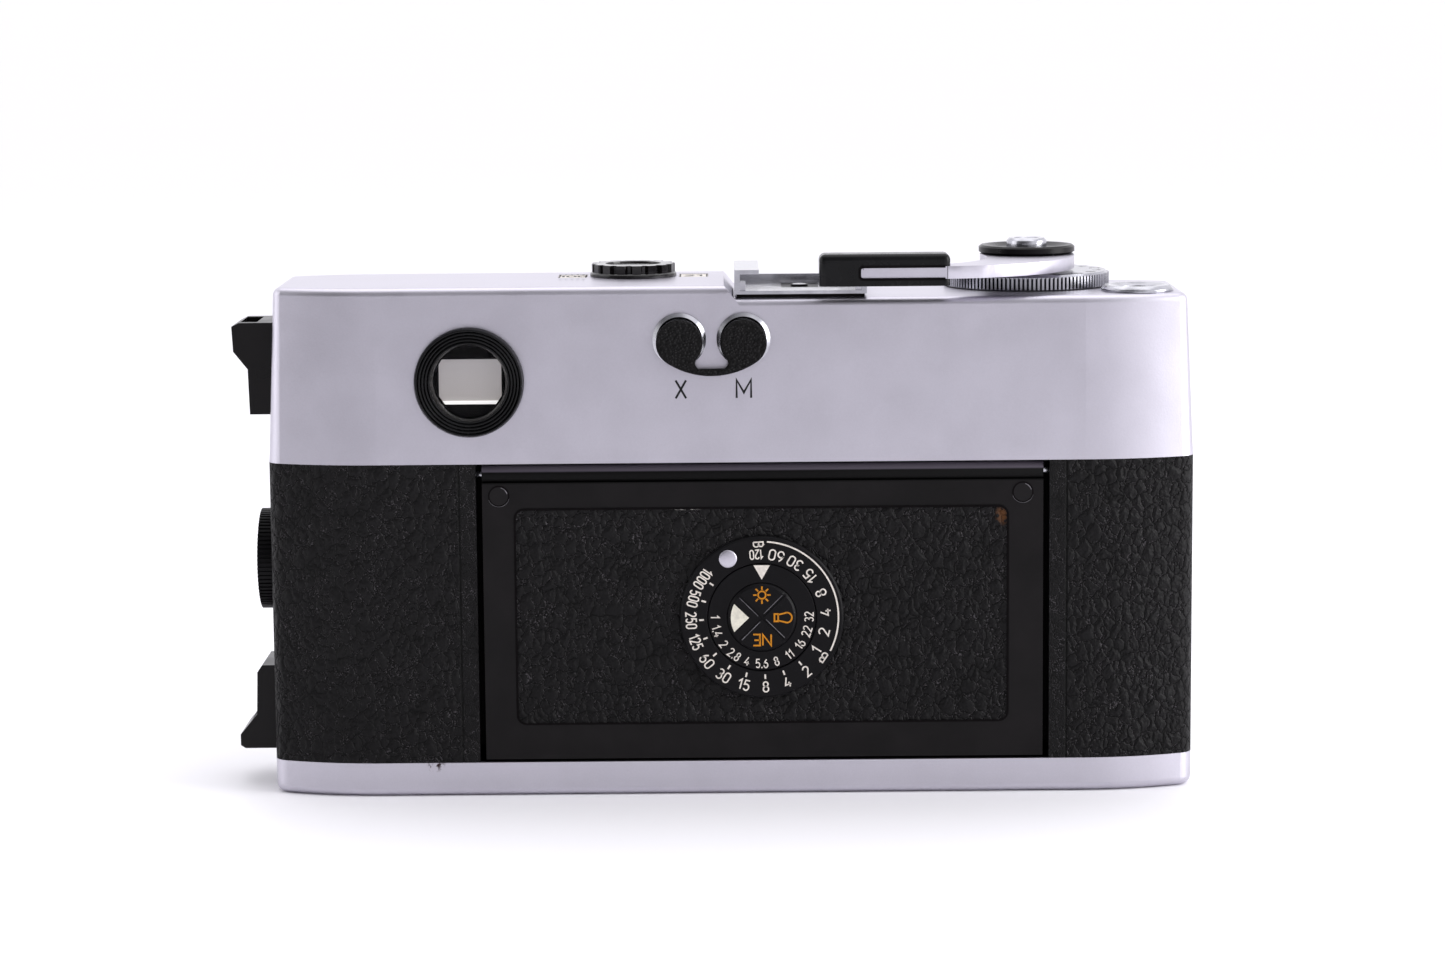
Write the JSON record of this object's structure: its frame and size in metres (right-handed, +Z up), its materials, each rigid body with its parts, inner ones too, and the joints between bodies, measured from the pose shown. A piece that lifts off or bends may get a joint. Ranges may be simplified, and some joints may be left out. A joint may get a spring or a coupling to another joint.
{
  "type": "rangefinder camera",
  "caption": "Rangefinder film camera with silver top and base, black leatherette, exposure memo dial on its flip-up back door, and a standard lens.",
  "frame": {"origin": "mouth of the tripod socket, in the middle of the base plate's underside", "axes": "+X to the viewer's right, +Y the way the lens points, +Z up"},
  "size_m": [0.1564, 0.0754, 0.0886],
  "materials": {
    "silver_chrome": "satin",
    "bright_steel": "brushed",
    "black_leatherette": "grained",
    "black_paint": "satin",
    "black_chrome": "matte",
    "black_plastic": "semi-gloss",
    "black_rubber": "matte",
    "shutter_cloth": "matte",
    "optical_glass": "polished",
    "frosted_plastic": "frosted",
    "brass_gear": "machined",
    "aluminium_casting": "cast",
    "white_scale": "printed"
  },
  "bodies": {
    "camera": {"body_shell": "aluminium_casting", "leatherette": "black_leatherette", "door_hinge_pin": "bright_steel", "top_deck": "aluminium_casting", "shutter_crate": "aluminium_casting", "shutter_curtain": "shutter_cloth", "curtain_drums": "bright_steel", "cassette_well": "black_paint", "battery_tube": "black_plastic", "battery_cell": "bright_steel", "top_plate": "silver_chrome", "viewfinder_window": "optical_glass", "frosted_window": "frosted_plastic", "rangefinder_window": "optical_glass", "viewfinder_block": "optical_glass", "eyepiece_ring": "black_plastic", "eyepiece_glass": "optical_glass", "sync_sockets": "bright_steel", "shoe_rail": "silver_chrome", "shoe_contact": "black_plastic", "iso_scale": "white_scale", "counter_bezel": "silver_chrome", "counter_glass": "optical_glass", "strap_lugs": "black_paint", "lens_flange": "silver_chrome", "lens_barrel": "black_paint", "front_element": "optical_glass", "rear_element": "optical_glass", "case_screws": "bright_steel"},
    "back_door": {"door_frame": "black_paint", "door_rivets": "black_paint", "door_leather": "black_leatherette", "exposure_scale": "black_chrome"},
    "exposure_disc": {"exposure_disc": "black_chrome"},
    "film_type_knob": {"film_type_knob": "black_chrome"},
    "pressure_plate": {"pressure_plate": "black_paint"},
    "base": {"base_plate": "silver_chrome", "tripod_bush": "bright_steel"},
    "base_key": {"key_disc": "bright_steel"},
    "key_bail": {"key_bail": "bright_steel"},
    "crank": {"crank_disc": "bright_steel"},
    "crank_arm": {"crank_arm": "bright_steel"},
    "crank_grip": {"crank_grip": "bright_steel"},
    "wind_lever": {"wind_shaft": "brass_gear", "lever_arm": "silver_chrome", "lever_tip": "black_plastic", "lever_cap": "black_paint"},
    "take_up_spool": {"take_up_spool": "black_plastic"},
    "release_button": {"release_button": "bright_steel"},
    "speed_dial": {"speed_dial": "silver_chrome"},
    "iso_dial": {"iso_knob": "black_chrome"},
    "counter_disc": {"counter_disc": "white_scale"},
    "battery_cover": {"battery_cover": "black_paint"},
    "sync_cap": {"sync_cap": "black_rubber"},
    "lens_release": {"lens_release_button": "bright_steel"},
    "frame_selector": {"frame_selector": "silver_chrome"},
    "self_timer": {"self_timer_lever": "silver_chrome"},
    "rewind_release": {"rewind_release": "silver_chrome"},
    "focus_ring": {"focus_ring": "black_paint"},
    "aperture_ring": {"aperture_ring": "black_paint"}
  },
  "joints": [
    {"name": "back_door_hinge", "type": "hinge", "parent": "camera", "child": "back_door", "pos_m": [0.005, -0.01525, 0.0526], "axis": [-1, 0, 0], "range_deg": [0, 90]},
    {"name": "exposure_disc_turn", "type": "hinge", "parent": "back_door", "child": "exposure_disc", "pos_m": [0.00475, -0.0165, 0.0292], "axis": [0, -1, 0], "continuous": true},
    {"name": "film_type_turn", "type": "hinge", "parent": "exposure_disc", "child": "film_type_knob", "pos_m": [0.00475, -0.017, 0.0292], "axis": [0, -1, 0], "continuous": true},
    {"name": "pressure_plate_spring", "type": "slide", "parent": "back_door", "child": "pressure_plate", "axis": [0, -1, 0], "range_m": [0, 0.0008], "stiffness_N_per_m": 500, "springref_m": -0.001},
    {"name": "base_plate_off", "type": "slide", "parent": "camera", "child": "base", "axis": [0, 0, -1], "range_m": [0, 0.012]},
    {"name": "base_key_turn", "type": "hinge", "parent": "base", "child": "base_key", "pos_m": [0.055, 0, 0.0026], "axis": [0, 0, -1], "range_deg": [0, 180]},
    {"name": "key_bail_fold", "type": "hinge", "parent": "base_key", "child": "key_bail", "pos_m": [0.055, 0, 0.0008], "axis": [0, 1, 0], "range_deg": [0, 90]},
    {"name": "rewind_crank_turn", "type": "hinge", "parent": "base", "child": "crank", "pos_m": [-0.0415, 0, 0.0036], "axis": [0, 0, -1], "continuous": true},
    {"name": "crank_arm_fold", "type": "hinge", "parent": "crank", "child": "crank_arm", "pos_m": [-0.0492, 0, 0.00062], "axis": [0, 1, 0], "range_deg": [0, 170]},
    {"name": "crank_grip_spin", "type": "hinge", "parent": "crank_arm", "child": "crank_grip", "pos_m": [-0.0361, 0, 0.0033], "axis": [0, 0, 1], "continuous": true},
    {"name": "advance_stroke", "type": "hinge", "parent": "camera", "child": "wind_lever", "pos_m": [0.0492, 0.0055, 0.084], "axis": [0, 0, 1], "range_deg": [0, 120]},
    {"name": "take_up_turn", "type": "hinge", "parent": "camera", "child": "take_up_spool", "pos_m": [0.06098, 0, 0.03], "axis": [0, 0, 1], "range_deg": [-270, 0]},
    {"name": "release_press", "type": "slide", "parent": "wind_lever", "child": "release_button", "axis": [0, 0, -1], "range_m": [0, 0.0018], "stiffness_N_per_m": 500, "springref_m": -0.001},
    {"name": "speed_dial_turn", "type": "hinge", "parent": "camera", "child": "speed_dial", "pos_m": [0.0492, 0.0055, 0.082], "axis": [0, 0, 1], "range_deg": [-160, 160]},
    {"name": "film_speed_turn", "type": "hinge", "parent": "camera", "child": "iso_dial", "pos_m": [-0.01595, 0.0063, 0.084], "axis": [0, 0, 1], "range_deg": [-150, 150]},
    {"name": "counter_turn", "type": "hinge", "parent": "camera", "child": "counter_disc", "pos_m": [0.0647, -0.0062, 0.0785], "axis": [0, 0, 1], "range_deg": [0, 324]},
    {"name": "battery_cover_turn", "type": "hinge", "parent": "camera", "child": "battery_cover", "pos_m": [-0.076, 0, 0.0369], "axis": [-1, 0, 0], "range_deg": [0, 360]},
    {"name": "sync_cap_pull", "type": "slide", "parent": "camera", "child": "sync_cap", "axis": [0, -1, 0], "range_m": [0, 0.006]},
    {"name": "lens_release_press", "type": "slide", "parent": "camera", "child": "lens_release", "axis": [0, -1, 0], "range_m": [0, 0.0015], "stiffness_N_per_m": 400, "springref_m": -0.001},
    {"name": "frame_selector_swing", "type": "hinge", "parent": "camera", "child": "frame_selector", "pos_m": [-0.02825, 0.018, 0.04], "axis": [0, 1, 0], "range_deg": [-20, 20], "stiffness_Nm_per_rad": 0.02},
    {"name": "self_timer_swing", "type": "hinge", "parent": "camera", "child": "self_timer", "pos_m": [0.03925, 0.018, 0.036], "axis": [0, -1, 0], "range_deg": [0, 130]},
    {"name": "rewind_release_swing", "type": "hinge", "parent": "camera", "child": "rewind_release", "pos_m": [0.0625, 0.018, 0.045], "axis": [0, -1, 0], "range_deg": [0, 60]},
    {"name": "focus_turn", "type": "hinge", "parent": "camera", "child": "focus_ring", "pos_m": [0.00475, 0.027, 0.0292], "axis": [0, 1, 0], "range_deg": [0, 95]},
    {"name": "aperture_turn", "type": "hinge", "parent": "camera", "child": "aperture_ring", "pos_m": [0.00475, 0.0407, 0.0292], "axis": [0, 1, 0], "range_deg": [-40, 40]}
  ],
  "couplings": [
    {"joint": "take_up_turn", "follows": "advance_stroke", "ratio": -2.25}
  ]
}
